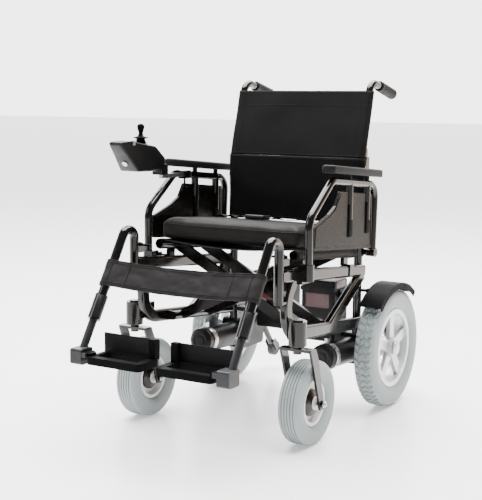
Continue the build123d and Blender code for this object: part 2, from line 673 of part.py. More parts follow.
def calf_strap():
    """Padded strap across the front of both hanger legs."""
    half = HANGER_X + TUBE_R
    strap = Box(2 * half, CALF_STRAP_T, 74)
    x, y, z = leg_point(CALF_STRAP_UP)
    lift = TUBE_R + CLEAR + CALF_STRAP_T / 2
    return Pos(0, y, z) * Rot(-LEG_LEAN, 0, 0) * Pos(0, -lift, 0) * strap


# ================================================================ batteries
def battery_box(front):
    """Battery case bolted to the rear post by a side plate and two spacers, on the left."""
    rear = front + BATTERY_DEPTH
    case = block(BATTERY_INNER, BATTERY_OUTER, front, rear, BATTERY_LOW, BATTERY_TOP)
    case = fillet(case.edges(), 6)
    case += block(BATTERY_INNER - 2, BATTERY_OUTER, front - 1, rear + 1, BATTERY_TOP - 34, BATTERY_TOP - 22)
    plate_front = POST_Y - 12
    case += block(BATTERY_OUTER, BATTERY_OUTER + 4, plate_front, rear - 12, 240, 350)
    for z in (250, 330):
        spacer = block(BATTERY_OUTER + 3, POST_X, POST_Y - 7, POST_Y + 7, z, z + 12)
        case += spacer - rod((POST_X, POST_Y, z - 1), (POST_X, POST_Y, z + 13), POST_R)
    return case


# ================================================================ controls
STICK = (-ARM_X - 12, -495.0, 778.0)
ROCKER = (-445.4, 755.8)
ROCKER_TILT = -36.5
BAR_X = ARM_X - ARM_TUBE_R - 7.0
BAR_Z = 690.0
SCREW_Y = -318.0


def controller_housing():
    x, y, z = STICK
    shell = side_plate(
        x, 70,
        [(-424, 704), (-420, 742), (-466, 776), (-600, 796), (-640, 786), (-602, 750), (-548, 706)], 8,
    )
    shell = fillet(shell.edges().filter_by(GeomType.LINE, reverse=False).filter_by(Axis.X, reverse=True), 3)
    shell -= rod((x, y, z - 26), (x, y, z + 20), 20)
    shell -= Pos(x, ROCKER[0], ROCKER[1]) * Rot(X=ROCKER_TILT) * Box(26, 18, 14)
    shell += side_disc(x - 14, x + 14, ROCKER[0], ROCKER[1], 1.5)
    for side in (-1, 1):
        shell -= rod((x + side * 20, -560, 776), (x + side * 20, -560, 800), 8)
    cheek = rod((x - 25, y, z - 16), (x - 15.5, y, z - 16), 3)
    cheek += rod((x + 15.5, y, z - 16), (x + 25, y, z - 16), 3)
    mount = block(-ARM_X - 9, -BAR_X + 6, -440, -412, BAR_Z + 6, 722)
    return shell + cheek + mount


def joystick_gimbal():
    """Ring that lets the stick lean both ways."""
    x, y, z = STICK
    ring = rod((x, y, z - 20), (x, y, z - 12), 15) - rod((x, y, z - 21), (x, y, z - 11), 11)
    ring -= side_disc(x - 19, x + 19, y, z - 16, 3 + RUN)
    for side in (-1, 1):
        ring += rod((x, y + side * 11.5, z - 16), (x, y + side * 6.5, z - 16), 2)
    return ring


def joystick():
    x, y, z = STICK
    base = rod((x, y, z - 20), (x, y, z - 8), 8)
    base -= rod((x, y - 12, z - 16), (x, y + 12, z - 16), 2 + RUN)
    boot = Pos(x, y, z + 3) * Cone(15, 6, 22)
    stem = rod((x, y, z - 9), (x, y, z + 44), 4)
    knob = Pos(x, y, z + 50) * Sphere(11)
    grip = Pos(x, y, z + 32) * Cone(6, 8, 14)
    return base + boot + stem + knob + grip


def push_button(side):
    """Round key in the top of the controller."""
    x = STICK[0] + side * 20
    return fillet(rod((x, -560, 780), (x, -560, 793), 7.7).edges(), 0.6)


def speed_rocker():
    x = STICK[0]
    key = Pos(x, ROCKER[0], ROCKER[1]) * Rot(X=ROCKER_TILT) * Pos(0, 0, 1.5) * Box(24, 14, 9)
    key = fillet(key.edges(), 1.2)
    return key - side_disc(x - 13, x + 13, ROCKER[0], ROCKER[1], 1.5 + RUN)


def controller_bar():
    """Square bar beside the right arm tube that carries the controller."""
    return block(-BAR_X - 6, -BAR_X + 6, -440, -290, BAR_Z - 6, BAR_Z + 6)


def bar_clamp():
    """Clamp on the right arm tube for the controller bar, with the screw's hole."""
    clamp = block(-BAR_X - 11, -BAR_X + 10, SCREW_Y - 17, SCREW_Y + 17, BAR_Z - 12, BAR_Z + 11)
    channel = 6 + CLEAR
    clamp -= block(-BAR_X - channel, -BAR_X + channel, SCREW_Y - 18, SCREW_Y + 18, BAR_Z - channel, BAR_Z + channel)
    return clamp - rod((-BAR_X, SCREW_Y, BAR_Z - 20), (-BAR_X, SCREW_Y, BAR_Z - 2), 3 + RUN)


def thumb_screw():
    tip = BAR_Z - 6 - CLEAR
    screw = rod((-BAR_X, SCREW_Y, tip - 30), (-BAR_X, SCREW_Y, tip), 3)
    return screw + rod((-BAR_X, SCREW_Y, tip - 42), (-BAR_X, SCREW_Y, tip - 30), 9)


def main():
    both = {
        "side_frame": side_frame(),
        "drive_motor": drive_motor(),
        "drive_tyre": drive_tyre(),
        "drive_rim": drive_rim(),
        "mudguard": mudguard(),
        "caster_fork": caster_fork(),
        "caster_tyre": caster_tyre(),
        "caster_rim": caster_rim(),
        "anti_tip_tube": anti_tip_tube(),
        "anti_tip_wheel": anti_tip_wheel(),
        "upper_cane": upper_cane(),
        "push_grip": push_grip(),
        "back_latch": back_latch(),
        "arm_frame": arm_frame(),
        "side_panel": side_panel(),
        "arm_pad": arm_pad(),
        "hanger": hanger(),
        "hanger_lever": hanger_lever(),
        "footrest_leg": footrest_leg(),
        "footplate": footplate(),
        "heel_loop": heel_loop(),
    }
    for name, shape in both.items():
        other = mirror(shape, Plane.YZ)
        if name == "arm_frame":
            other += bar_clamp()
        save(f"left_{name}", shape)
        save(f"right_{name}", other)
    save("left_battery", battery_box(LEFT_BATTERY_FRONT))
    save("right_battery", mirror(battery_box(LEFT_BATTERY_FRONT + BATTERY_STAGGER), Plane.YZ))
    save("cross_brace_a", cross_brace(-BRACE_T / 2 - 1, "bolt"))
    save("cross_brace_b", mirror(cross_brace(BRACE_T / 2 + 1, "hole"), Plane.YZ))
    save("seat_sling", seat_sling())
    save("seat_cushion", seat_cushion())
    save("seat_belt", seat_belt())
    save("back_upper", back_upper())
    save("back_lower", back_lower())
    save("calf_strap", calf_strap())
    save("controller_housing", controller_housing())
    save("joystick_gimbal", joystick_gimbal())
    save("joystick", joystick())
    save("power_button", push_button(-1))
    save("horn_button", push_button(1))
    save("speed_rocker", speed_rocker())
    save("controller_bar", controller_bar())
    save("thumb_screw", thumb_screw())


main()
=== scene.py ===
"""Folding power wheelchair: its looks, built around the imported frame."""
from math import atan2, cos, pi, radians, sin, tan

import bmesh
import bpy
from mathutils import Matrix, Vector, noise


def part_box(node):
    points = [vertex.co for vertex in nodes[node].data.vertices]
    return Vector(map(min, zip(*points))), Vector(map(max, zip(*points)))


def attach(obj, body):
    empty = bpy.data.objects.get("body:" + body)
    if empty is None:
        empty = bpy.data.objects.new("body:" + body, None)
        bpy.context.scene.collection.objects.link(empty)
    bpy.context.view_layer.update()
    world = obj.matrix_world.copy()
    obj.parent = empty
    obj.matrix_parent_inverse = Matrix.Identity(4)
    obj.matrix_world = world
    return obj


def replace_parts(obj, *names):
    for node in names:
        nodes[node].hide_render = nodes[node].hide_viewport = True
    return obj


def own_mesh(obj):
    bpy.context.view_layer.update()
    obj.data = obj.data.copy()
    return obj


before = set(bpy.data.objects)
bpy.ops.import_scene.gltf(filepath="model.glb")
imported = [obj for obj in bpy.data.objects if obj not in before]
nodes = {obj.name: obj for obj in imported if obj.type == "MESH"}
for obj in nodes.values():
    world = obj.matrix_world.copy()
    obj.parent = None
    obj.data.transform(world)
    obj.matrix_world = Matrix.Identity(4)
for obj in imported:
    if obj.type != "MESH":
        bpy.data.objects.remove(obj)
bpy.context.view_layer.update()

SIDES = {"left": 1, "right": -1}

# ================================================================ camera
# A long lens a little above the armrests, off the chair's left front corner.
azimuth, pitch, roll = radians(30.88), radians(7.46), radians(0.62)
back = Vector((sin(azimuth) * cos(pitch), -cos(azimuth) * cos(pitch), sin(pitch)))
level = back.cross(Vector((0, 0, -1))).normalized()
upright = back.cross(level)
across = level * cos(roll) + upright * sin(roll)
upward = upright * cos(roll) - level * sin(roll)
camera = bpy.data.objects.new("camera", bpy.data.cameras.new("camera"))
camera.data.lens = 79.03
camera.data.sensor_width = 36.0
turn = Matrix((across, upward, back)).transposed().to_4x4()
camera.matrix_world = Matrix.Translation((1.565237, -2.705633, 0.889973)) @ turn
bpy.context.scene.collection.objects.link(camera)
bpy.context.scene.camera = camera


# ================================================================ studio
# White glossy floor, faintly self-lit, under a white sky that brightens beyond the
# chair. A wide overhead light, a weak key in front and a warm reflector behind.
def linear(code):
    """An sRGB hex colour as linear RGBA."""
    parts = [int(code[i:i + 2], 16) / 255 for i in (1, 3, 5)]
    return [c / 12.92 if c < 0.04045 else ((c + 0.055) / 1.055) ** 2.4 for c in parts] + [1.0]


def add(tree, kind, inputs=None, **settings):
    """One shader node; inputs are values or other nodes' output sockets."""
    node = tree.nodes.new(kind)
    for key, value in settings.items():
        setattr(node, key, value)
    for name, value in (inputs or {}).items():
        if isinstance(value, bpy.types.NodeSocket):
            tree.links.new(value, node.inputs[name])
        else:
            node.inputs[name].default_value = value
    return node


def blank_material(name):
    material = bpy.data.materials.new(name)
    material.use_nodes = True
    material.node_tree.nodes.clear()
    return material, material.node_tree


def put(name, bm, material, body=None):
    """A new piece from a bmesh, at the origin, riding on a CAD body."""
    mesh = bpy.data.meshes.new(name)
    bm.to_mesh(mesh)
    bm.free()
    obj = bpy.data.objects.new(name, mesh)
    bpy.context.scene.collection.objects.link(obj)
    if material:
        mesh.materials.append(material)
    if body:
        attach(obj, body)
    return obj


floor_gloss, tree = blank_material("floor_white_gloss")
spots = add(tree, "ShaderNodeTexNoise", {"Scale": 3.0, "Detail": 3.0})
shade = add(
    tree, "ShaderNodeMix", {0: spots.outputs["Fac"], 6: linear("#f4f3f1"), 7: linear("#fbfbfa")},
    data_type="RGBA",
)
shader = add(
    tree, "ShaderNodeBsdfPrincipled",
    {
        "Base Color": shade.outputs[2], "Roughness": 0.24, "IOR": 1.45,
        "Emission Color": linear("#ffffff"), "Emission Strength": 0.42,
    },
)
add(tree, "ShaderNodeOutputMaterial", {"Surface": shader.outputs[0]})
bm = bmesh.new()
bmesh.ops.create_grid(bm, x_segments=1, y_segments=1, size=60.0)
floor = put("floor", bm, floor_gloss)

world = bpy.data.worlds.new("sky")
bpy.context.scene.world = world
world.use_nodes = True
sky_tree = world.node_tree
sky_way = add(sky_tree, "ShaderNodeTexCoord").outputs["Generated"]
beyond = add(
    sky_tree, "ShaderNodeVectorMath", {0: sky_way, 1: (-sin(azimuth), cos(azimuth), 0.0)},
    operation="DOT_PRODUCT",
)
strength = add(
    sky_tree, "ShaderNodeMapRange",
    {"Value": beyond.outputs["Value"], "From Min": 0.35, "From Max": 0.85, "To Min": 0.22, "To Max": 4.4},
)
sky_tree.links.new(strength.outputs[0], sky_tree.nodes["Background"].inputs["Strength"])
sky_tree.nodes["Background"].inputs["Color"].default_value = (1.0, 1.0, 1.0, 1.0)


def lamp(name, place, aim, size, power, colour):
    """Soft rectangular studio light."""
    data = bpy.data.lights.new(name, "AREA")
    data.shape = "RECTANGLE"
    data.size, data.size_y = size
    data.energy = power
    data.color = linear(colour)[:3]
    obj = bpy.data.objects.new(name, data)
    obj.location = place
    obj.rotation_euler = (Vector(aim) - Vector(place)).to_track_quat("-Z", "Y").to_euler()
    bpy.context.scene.collection.objects.link(obj)


lamp("overhead", (-0.4, 0.8, 4.5), (0, 0, 0), (5.0, 5.0), 1350, "#ffffff")
lamp("key", (-2.6, -3.4, 3.0), (0, 0, 0.4), (1.6, 1.6), 60, "#ffffff")
lamp("warm_reflector", (2.6, 3.2, 0.9), (0, 0, 0.4), (2.4, 1.6), 24, "#ffcf9c")


# ================================================================ hard finishes
# One grained surface for every painted, plated or moulded part: gloss black enamel
# on the welded steel, matt black nylon, silver and white paint, zinc and rubber.
def hard_finish(
    name, colour, other, rough, grain_mm, bump_mm, metallic=0.0, coat=0.0, gleam=0.5, broad_mm=60.0
):
    """Painted, plated or moulded surface with its grain, bump and broad shade change."""
    material, tree = blank_material(name)
    place = add(tree, "ShaderNodeTexCoord").outputs["Object"]
    broad = add(tree, "ShaderNodeTexNoise", {"Vector": place, "Scale": 1000 / broad_mm, "Detail": 4.0})
    fine = add(tree, "ShaderNodeTexNoise", {"Vector": place, "Scale": 1000 / grain_mm, "Detail": 2.0})
    shade = add(
        tree, "ShaderNodeMix", {0: broad.outputs["Fac"], 6: linear(colour), 7: linear(other)},
        data_type="RGBA",
    )
    gloss = add(
        tree, "ShaderNodeMapRange",
        {
            "Value": broad.outputs["Fac"], "From Min": 0.3, "From Max": 0.7,
            "To Min": rough * 0.8, "To Max": rough * 1.3,
        },
    )
    bump = add(
        tree, "ShaderNodeBump", {"Height": fine.outputs["Fac"], "Distance": bump_mm / 1000, "Strength": 0.8}
    )
    shader = add(
        tree, "ShaderNodeBsdfPrincipled",
        {
            "Base Color": shade.outputs[2], "Roughness": gloss.outputs[0], "Metallic": metallic,
            "Coat Weight": coat, "Coat Roughness": 0.06, "Specular IOR Level": gleam,
            "Normal": bump.outputs[0],
        },
    )
    add(tree, "ShaderNodeOutputMaterial", {"Surface": shader.outputs[0]})
    return material


def dress(material, *names):
    """Give CAD nodes their finish."""
    for name in names:
        for spot in nodes[name].material_slots:
            spot.material = material


def both(*names):
    return [f"{side}_{name}" for side in SIDES for name in names]


frame_enamel = hard_finish(
    "frame_gloss_black_enamel", "#080706", "#0f0c0a", 0.15, 1.6, 0.02, coat=0.15, gleam=0.38
)
dress(frame_enamel, *both("side_frame", "arm_frame", "caster_fork"), "cross_brace_a", "cross_brace_b")
tube_enamel = hard_finish(
    "tube_gloss_black_enamel", "#060505", "#0b0a09", 0.1, 1.2, 0.012, coat=0.2, gleam=0.4
)
dress(tube_enamel, *both("hanger", "upper_cane", "anti_tip_tube"))
panel_gloss = hard_finish("panel_gloss_black_abs", "#070605", "#0c0a09", 0.26, 2.2, 0.03, gleam=0.08)
dress(panel_gloss, *both("side_panel"))
moulded_black = hard_finish("moulded_black_nylon", "#060606", "#0a0a0b", 0.5, 0.9, 0.05, gleam=0.03)
dress(moulded_black, *both("footplate", "mudguard", "hanger_lever", "back_latch"))
dress(moulded_black, "thumb_screw", "joystick_gimbal")
sleeve_grey = hard_finish("leg_dark_grey_paint", "#1b1c1e", "#242528", 0.38, 1.0, 0.03, gleam=0.3)
dress(sleeve_grey, *both("footrest_leg"))
housing_plastic = hard_finish("controller_satin_black_abs", "#0a0a0b", "#101113", 0.34, 0.8, 0.04, gleam=0.25)
dress(housing_plastic, "controller_housing", "speed_rocker")
button_gloss = hard_finish("button_gloss_plastic", "#c9ccd0", "#d6d8dc", 0.2, 1.0, 0.01, coat=0.5)
dress(button_gloss, "power_button")
horn_gloss = hard_finish("horn_button_grey_plastic", "#6d7075", "#7b7e84", 0.3, 1.0, 0.01, coat=0.3)
dress(horn_gloss, "horn_button")
motor_coat = hard_finish("motor_semi_gloss_black", "#08080a", "#0f1012", 0.34, 2.5, 0.08, gleam=0.25)
dress(motor_coat, *both("drive_motor"))
rim_paint = hard_finish(
    "rim_silver_painted_alloy", "#c3c5c8", "#d3d5d7", 0.3, 1.5, 0.03, metallic=0.35, coat=0.4
)
dress(rim_paint, *both("drive_rim"))
caster_paint = hard_finish("caster_rim_light_paint", "#dcdddb", "#e9e9e7", 0.35, 1.5, 0.03, coat=0.3)
dress(caster_paint, *both("caster_rim"))
bright_zinc = hard_finish(
    "bright_zinc_plate", "#b4b6b8", "#c8cacb", 0.28, 1.0, 0.015, metallic=1.0, broad_mm=15.0
)
dress(bright_zinc, "controller_bar")
battery_case = hard_finish("battery_case_black_abs", "#0a0a0b", "#101012", 0.45, 1.2, 0.05, gleam=0.25)
dress(battery_case, *both("battery"))
tip_rubber = hard_finish("tip_wheel_grey_rubber", "#3a3b3c", "#454647", 0.7, 0.8, 0.06)
dress(tip_rubber, *both("anti_tip_wheel"))


# ================================================================ tyres
# Grey non-marking rubber. Casters have five round grooves; drive tyres have
# rows of zig-zag blocks. The carcass is one closed ring spun about the axle.
tyre_rubber = hard_finish("tyre_light_grey_rubber", "#8d9697", "#a1a8a9", 0.62, 1.4, 0.08, broad_mm=45.0)


def spun(profile, centre, steps=96, axis="X"):
    """A closed outline of (along, radius) points spun about an axle."""
    bm = bmesh.new()
    ring = [bm.verts.new((along, 0, radius)) for along, radius in profile]
    for a, b in zip(ring, ring[1:] + ring[:1]):
        bm.edges.new((a, b))
    bmesh.ops.spin(
        bm, geom=bm.verts[:] + bm.edges[:], cent=(0, 0, 0), axis=(1, 0, 0),
        angle=2 * pi, steps=steps, use_merge=True,
    )
    if axis == "Z":
        bmesh.ops.rotate(bm, verts=bm.verts, cent=(0, 0, 0), matrix=Matrix.Rotation(-pi / 2, 3, "Y"))
    if axis == "Y":
        bmesh.ops.rotate(bm, verts=bm.verts, cent=(0, 0, 0), matrix=Matrix.Rotation(pi / 2, 3, "Z"))
    bmesh.ops.remove_doubles(bm, verts=bm.verts, dist=1e-6)
    bmesh.ops.translate(bm, verts=bm.verts, vec=centre)
    bmesh.ops.recalc_face_normals(bm, faces=bm.faces)
    return bm


def smooth(obj, angle=40.0):
    """Smooth shading up to an angle between faces."""
    for face in obj.data.polygons:
        face.use_smooth = True
    bm = bmesh.new()
    bm.from_mesh(obj.data)
    for edge in bm.edges:
        if len(edge.link_faces) == 2 and edge.calc_face_angle(0.0) > radians(angle):
            edge.smooth = False
    bm.to_mesh(obj.data)
    bm.free()
    return obj


def middle(node):
    low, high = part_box(node)
    return (low + high) / 2, (high - low) / 2


def carcass(half, outer, inner, crown):
    """Tyre section: bead, bulged wall and shoulder up to the tread band."""
    wall = [(0.62, 0.0), (0.86, 0.16), (0.98, 0.38), (1.0, 0.6), (0.96, 0.8), (0.86, 0.93)]
    side = [(half * a, inner + (outer - inner) * b) for a, b in wall]
    return [(-a, r) for a, r in side] + crown + [(a, r) for a, r in reversed(side)]


for side in SIDES:
    centre, reach = middle(f"{side}_caster_tyre")
    half, outer = reach.x, reach.z
    groove, depth = 0.0011, 0.0032
    crown = [(-half * 0.74, outer - 0.001)]
    for step in range(-2, 3):
        x = step * half * 0.26
        crown += [(x - groove - 0.0006, outer), (x - groove, outer - depth), (x + groove, outer - depth)]
        crown += [(x + groove + 0.0006, outer)]
    crown += [(half * 0.74, outer - 0.001)]
    tyre = put(f"{side}_caster_tyre_grooved", spun(carcass(half, outer, 0.062, crown), centre), tyre_rubber,
               f"{side}_caster_wheel")
    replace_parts(smooth(tyre, 50), f"{side}_caster_tyre")

for side in SIDES:
    centre, reach = middle(f"{side}_drive_tyre")
    half, outer = reach.x, reach.z
    base = outer - 0.0045
    crown = [
        (-half * 0.7, base), (-half * 0.35, base + 0.0008),
        (half * 0.35, base + 0.0008), (half * 0.7, base),
    ]
    bm = spun(carcass(half, base, 0.117, crown), (0, 0, 0), 120)
    blocks = bmesh.new()
    for lane, width, skew in ((-0.17, 0.30, 0.8), (0.17, 0.30, -0.8), (-0.56, 0.34, -0.5), (0.56, 0.34, 0.5)):
        made = bmesh.ops.create_cube(blocks, size=1.0)["verts"]
        offset = 0.004 if abs(lane) > 0.3 else 0.0
        drop = 0.0012 if abs(lane) > 0.3 else 0.0
        for v in made:
            x = lane * half + v.co.x * width * half
            slant = (x - lane * half) * skew
            v.co = Vector((x, v.co.y * 0.0125 + slant + offset, outer - 0.0045 - drop + v.co.z * 0.009))
    bmesh.ops.bevel(
        blocks, geom=blocks.edges[:], offset=0.0009, affect="EDGES", segments=1, profile=0.5, material=-1
    )
    count = 52
    bmesh.ops.spin(
        blocks, geom=blocks.verts[:] + blocks.edges[:] + blocks.faces[:], cent=(0, 0, 0), axis=(1, 0, 0),
        angle=2 * pi * (count - 1) / count, steps=count - 1, use_duplicate=True,
    )
    tread = bpy.data.meshes.new("tread")
    blocks.to_mesh(tread)
    blocks.free()
    bm.from_mesh(tread)
    bmesh.ops.translate(bm, verts=bm.verts, vec=centre)
    tyre = put(f"{side}_drive_tyre_blocks", bm, tyre_rubber, f"{side}_drive_wheel")
    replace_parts(smooth(tyre, 35), f"{side}_drive_tyre")


# ================================================================ seat cushion
# Foam block in a black nylon cover: a crowned top, boxed sides and a welt along
# the top and bottom seams. It is swollen by cloth pressure and then tilted.
REST_TILT = radians(5.0)
PIVOT = Vector((0, -0.1285, 0.290))
RAKE = Matrix.Translation(PIVOT) @ Matrix.Rotation(-REST_TILT, 4, "X") @ Matrix.Translation(-PIVOT)


def woven_finish(name, colour, other, thread_mm, sheen, rough, axes=("X", "Z"), bump_mm=0.25):
    """Plain weave: crossed threads drawn coarse enough to show, with cloudy wear and a nap."""
    material, tree = blank_material(name)
    place = add(tree, "ShaderNodeTexCoord").outputs["Object"]
    threads = []
    for axis in axes:
        wave = add(
            tree, "ShaderNodeTexWave",
            {"Vector": place, "Scale": 1000 / thread_mm / 6.283, "Distortion": 0.6, "Detail": 1.0},
            wave_type="BANDS", bands_direction=axis,
        )
        threads.append(wave.outputs["Fac"])
    weave = add(tree, "ShaderNodeMath", {0: threads[0], 1: threads[1]}, operation="MULTIPLY")
    cloud = add(tree, "ShaderNodeTexNoise", {"Vector": place, "Scale": 14.0, "Detail": 5.0})
    height = add(tree, "ShaderNodeMath", {0: weave.outputs[0], 1: cloud.outputs["Fac"]}, operation="ADD")
    base = add(
        tree, "ShaderNodeMix", {0: cloud.outputs["Fac"], 6: linear(colour), 7: linear(other)},
        data_type="RGBA",
    )
    lit = add(tree, "ShaderNodeMapRange", {"Value": weave.outputs[0], "To Min": 0.7, "To Max": 1.25})
    shade = add(
        tree, "ShaderNodeVectorMath", {0: base.outputs[2], "Scale": lit.outputs[0]}, operation="SCALE"
    )
    bump = add(
        tree, "ShaderNodeBump", {"Height": height.outputs[0], "Distance": bump_mm / 1000, "Strength": 0.7}
    )
    shader = add(
        tree, "ShaderNodeBsdfPrincipled",
        {"Base Color": shade.outputs[0], "Roughness": rough, "Sheen Weight": sheen, "Sheen Roughness": 0.45,
         "Sheen Tint": linear("#5d5650"), "Specular IOR Level": 0.12, "Normal": bump.outputs[0]},
    )
    add(tree, "ShaderNodeOutputMaterial", {"Surface": shader.outputs[0]})
    return material


# The seat and strap nylon colours are lighter than the back's black: painted sheen, standing in for the
# overhead light on their upturned faces.
seat_nylon_painted_sheen = woven_finish("seat_black_nylon_weave_painted_sheen", "#171615", "#201e1d", 1.6, 0.2, 0.62, ("X", "Y"))
back_nylon = woven_finish("back_black_nylon_weave", "#0c0c0c", "#131212", 1.6, 0.08, 0.66, ("X", "Z"))
strap_nylon_painted_sheen = woven_finish("strap_nylon_weave_painted_sheen", "#1e1d1d", "#282626", 1.6, 0.2, 0.62, ("X", "Z"))
webbing = woven_finish("black_polyester_webbing", "#101011", "#191a1b", 2.2, 0.2, 0.55, ("X", "Y"), 0.4)
seam_thread = woven_finish("seam_black_thread", "#0c0c0c", "#141414", 1.2, 0.25, 0.6, ("X", "Y"))


def settled(obj):
    """The piece with its modifiers made part of its mesh."""
    graph = bpy.context.evaluated_depsgraph_get()
    mesh = bpy.data.meshes.new_from_object(obj.evaluated_get(graph))
    obj.modifiers.clear()
    obj.data = mesh
    return obj


def swollen(obj, voxel, cap, pressure=4.0):
    """Remesh a stuffed form and let cloth pressure round it, moving no point beyond the cap."""
    remesh = obj.modifiers.new("voxels", "REMESH")
    remesh.mode = "VOXEL"
    remesh.voxel_size = voxel
    settled(obj)
    start = [v.co.copy() for v in obj.data.vertices]
    cloth = obj.modifiers.new("cloth", "CLOTH")
    cloth.settings.use_pressure = True
    cloth.settings.uniform_pressure_force = pressure
    cloth.settings.effector_weights.gravity = 0.0
    for step in range(1, 21):
        bpy.context.scene.frame_set(step)
    settled(obj)
    bpy.context.scene.frame_set(1)
    for v, from_ in zip(obj.data.vertices, start):
        move = v.co - from_
        if move.length > cap:
            v.co = from_ + move * (cap / move.length)
    return obj


def tubes(name, runs, radius, material, body, sides=2):
    """Round welts, seams or rods along runs of points, as one mesh."""
    curve = bpy.data.curves.new(name, "CURVE")
    curve.dimensions = "3D"
    curve.bevel_depth = radius
    curve.bevel_resolution = sides
    curve.use_fill_caps = True
    for points, closed in runs:
        spline = curve.splines.new("POLY")
        spline.points.add(len(points) - 1)
        for point, at in zip(spline.points, points):
            point.co = (*at, 1.0)
        spline.use_cyclic_u = closed
    holder = bpy.data.objects.new(name, curve)
    bpy.context.scene.collection.objects.link(holder)
    mesh = bpy.data.meshes.new_from_object(holder.evaluated_get(bpy.context.evaluated_depsgraph_get()))
    bpy.data.objects.remove(holder)
    obj = bpy.data.objects.new(name, mesh)
    bpy.context.scene.collection.objects.link(obj)
    mesh.materials.clear()
    mesh.materials.append(material)
    for face in mesh.polygons:
        face.use_smooth = True
    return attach(obj, body)


SEAT_FRONT, SEAT_REAR = -0.1985, 0.1745
CUSHION_LOW, CUSHION_HIGH, CUSHION_HALF = 0.5122, 0.5690, 0.234
bm = bmesh.new()
bmesh.ops.create_cube(bm, size=1.0)
for v in bm.verts:
    v.co = Vector((
        v.co.x * 2 * (CUSHION_HALF - 0.008),
        (SEAT_FRONT + SEAT_REAR) / 2 + v.co.y * (SEAT_REAR - SEAT_FRONT - 0.016),
        (CUSHION_LOW + CUSHION_HIGH) / 2 - 0.001 + v.co.z * (CUSHION_HIGH - CUSHION_LOW - 0.008),
    ))
bmesh.ops.bevel(bm, geom=bm.edges[:], offset=0.011, affect="EDGES", segments=3, profile=0.5, material=-1)
cushion = swollen(put("seat_cushion_cover", bm, seat_nylon_painted_sheen), 0.006, 0.009)
low_edge = CUSHION_LOW + 0.001
for v in cushion.data.vertices:
    v.co.z = max(v.co.z, low_edge)
    if v.co.z < low_edge + 0.012 and v.co.y < SEAT_FRONT + 0.012:
        v.co.z -= 0.008
    crown = max(0.0, 1 - (v.co.x / CUSHION_HALF) ** 2) * max(0.0, 1 - ((v.co.y + 0.012) / 0.187) ** 2)
    if v.co.z > (CUSHION_LOW + CUSHION_HIGH) / 2:
        v.co.z += 0.005 * crown ** 0.5 + 0.0012 * noise.noise(v.co * 16)
subdivide = cushion.modifiers.new("smooth", "SUBSURF")
subdivide.levels = subdivide.render_levels = 1
settled(cushion)
for face in cushion.data.polygons:
    face.use_smooth = True
welts = []
for height in (CUSHION_HIGH - 0.009, CUSHION_LOW + 0.008):
    loop = []
    for step in range(160):
        t = 2 * pi * step / 160
        power = 0.18
        edge = Vector((
            (CUSHION_HALF + 0.01) * abs(cos(t)) ** power * (1 if cos(t) > 0 else -1),
            (SEAT_FRONT + SEAT_REAR) / 2 + 0.196 * abs(sin(t)) ** power * (1 if sin(t) > 0 else -1), height,
        ))
        found = cushion.closest_point_on_mesh(edge)
        loop.append(RAKE @ Vector((found[1].x, found[1].y, found[1].z)))
    welts.append((loop, True))
cushion.data.transform(RAKE)
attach(cushion, "seat")
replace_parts(cushion, "seat_cushion")
cushion_welt = tubes("seat_cushion_welt", welts, 0.0016, seam_thread, "seat")
for piece in (cushion, cushion_welt):
    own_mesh(piece)


# ================================================================ seat sling
# Nylon sling stretched between the two seat tubes, wrapped round each and sewn.
def strung(name, span, radius, wrap, belly, columns, rows, place, thick, material, ripple=0.0012):
    """Fabric strung between two tubes: round the back of each tube and across with a slight belly."""
    bm = bmesh.new()
    bmesh.ops.create_grid(bm, x_segments=columns, y_segments=rows, size=1.0)
    for v in bm.verts:
        v.co = place(*sling_point(v.co.x, span, radius, wrap, belly), (v.co.y + 1) / 2, ripple)
    obj = put(name, bm, material)
    solid = obj.modifiers.new("cloth", "SOLIDIFY")
    solid.thickness = thick
    solid.offset = 0.0
    settled(obj)
    for face in obj.data.polygons:
        face.use_smooth = True
    return obj


def sling_point(share, span, radius, wrap, belly):
    """Sideways place and height over the tubes' line at a share of the cloth's half width."""
    run = share * (span + radius * wrap)
    if abs(run) <= span:
        return run, radius - belly * (1 - (run / span) ** 2)
    turn_ = (abs(run) - span) / radius
    return (span + radius * sin(turn_)) * (1 if run > 0 else -1), radius * cos(turn_)


SEAT_TUBE_X, SEAT_TUBE_UP = 0.215, 0.497
SLING_RADIUS, SLING_WRAP = 0.0138, 3.4


def seat_place(x, height, v, ripple):
    along = SEAT_FRONT + 0.002 + v * (SEAT_REAR - SEAT_FRONT - 0.006)
    low = ripple * noise.noise(Vector((x * 14, along * 18, 1.0)))
    return RAKE @ Vector((x, along, SEAT_TUBE_UP + height + low))


sling = strung(
    "seat_sling_cloth", SEAT_TUBE_X, SLING_RADIUS, SLING_WRAP, 0.013, 110, 40, seat_place, 0.0016, seat_nylon_painted_sheen
)
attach(sling, "seat")
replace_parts(sling, "seat_sling")
hems = []
for v in (0.02, 0.06, 0.94, 0.98):
    points = [sling_point(i / 40 - 1, SEAT_TUBE_X, 0.0148, 3.3, 0.013) for i in range(81)]
    hems.append(([seat_place(*point, v, 0.0012) for point in points], False))
sling_hem = tubes("seat_sling_hem", hems, 0.0009, seam_thread, "seat")
for piece in (sling, sling_hem):
    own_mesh(piece)


# ================================================================ back upholstery
# Two nylon panels whose side sleeves slide over the canes and the rear posts;
# they meet just above the hinge, where the back folds.
POST_X, POST_Y = 0.214, 0.2275
HINGE_Z, CANE_TOP, CANE_LEAN = 0.738, 0.968, 0.060


def cane_y(z):
    return POST_Y + max(0.0, z - HINGE_Z) / (CANE_TOP - HINGE_Z) * CANE_LEAN


def upper_place(x, height, v, ripple):
    z = 0.743 + v * (0.9385 - 0.743)
    fold = ripple * noise.noise(Vector((x * 9, z * 12, 3.0))) * 2.0
    pad = -0.004 * (1 - (x / 0.23) ** 4) if height > 0 else 0.0
    return Vector((x, cane_y(z) - height + fold + pad, z))


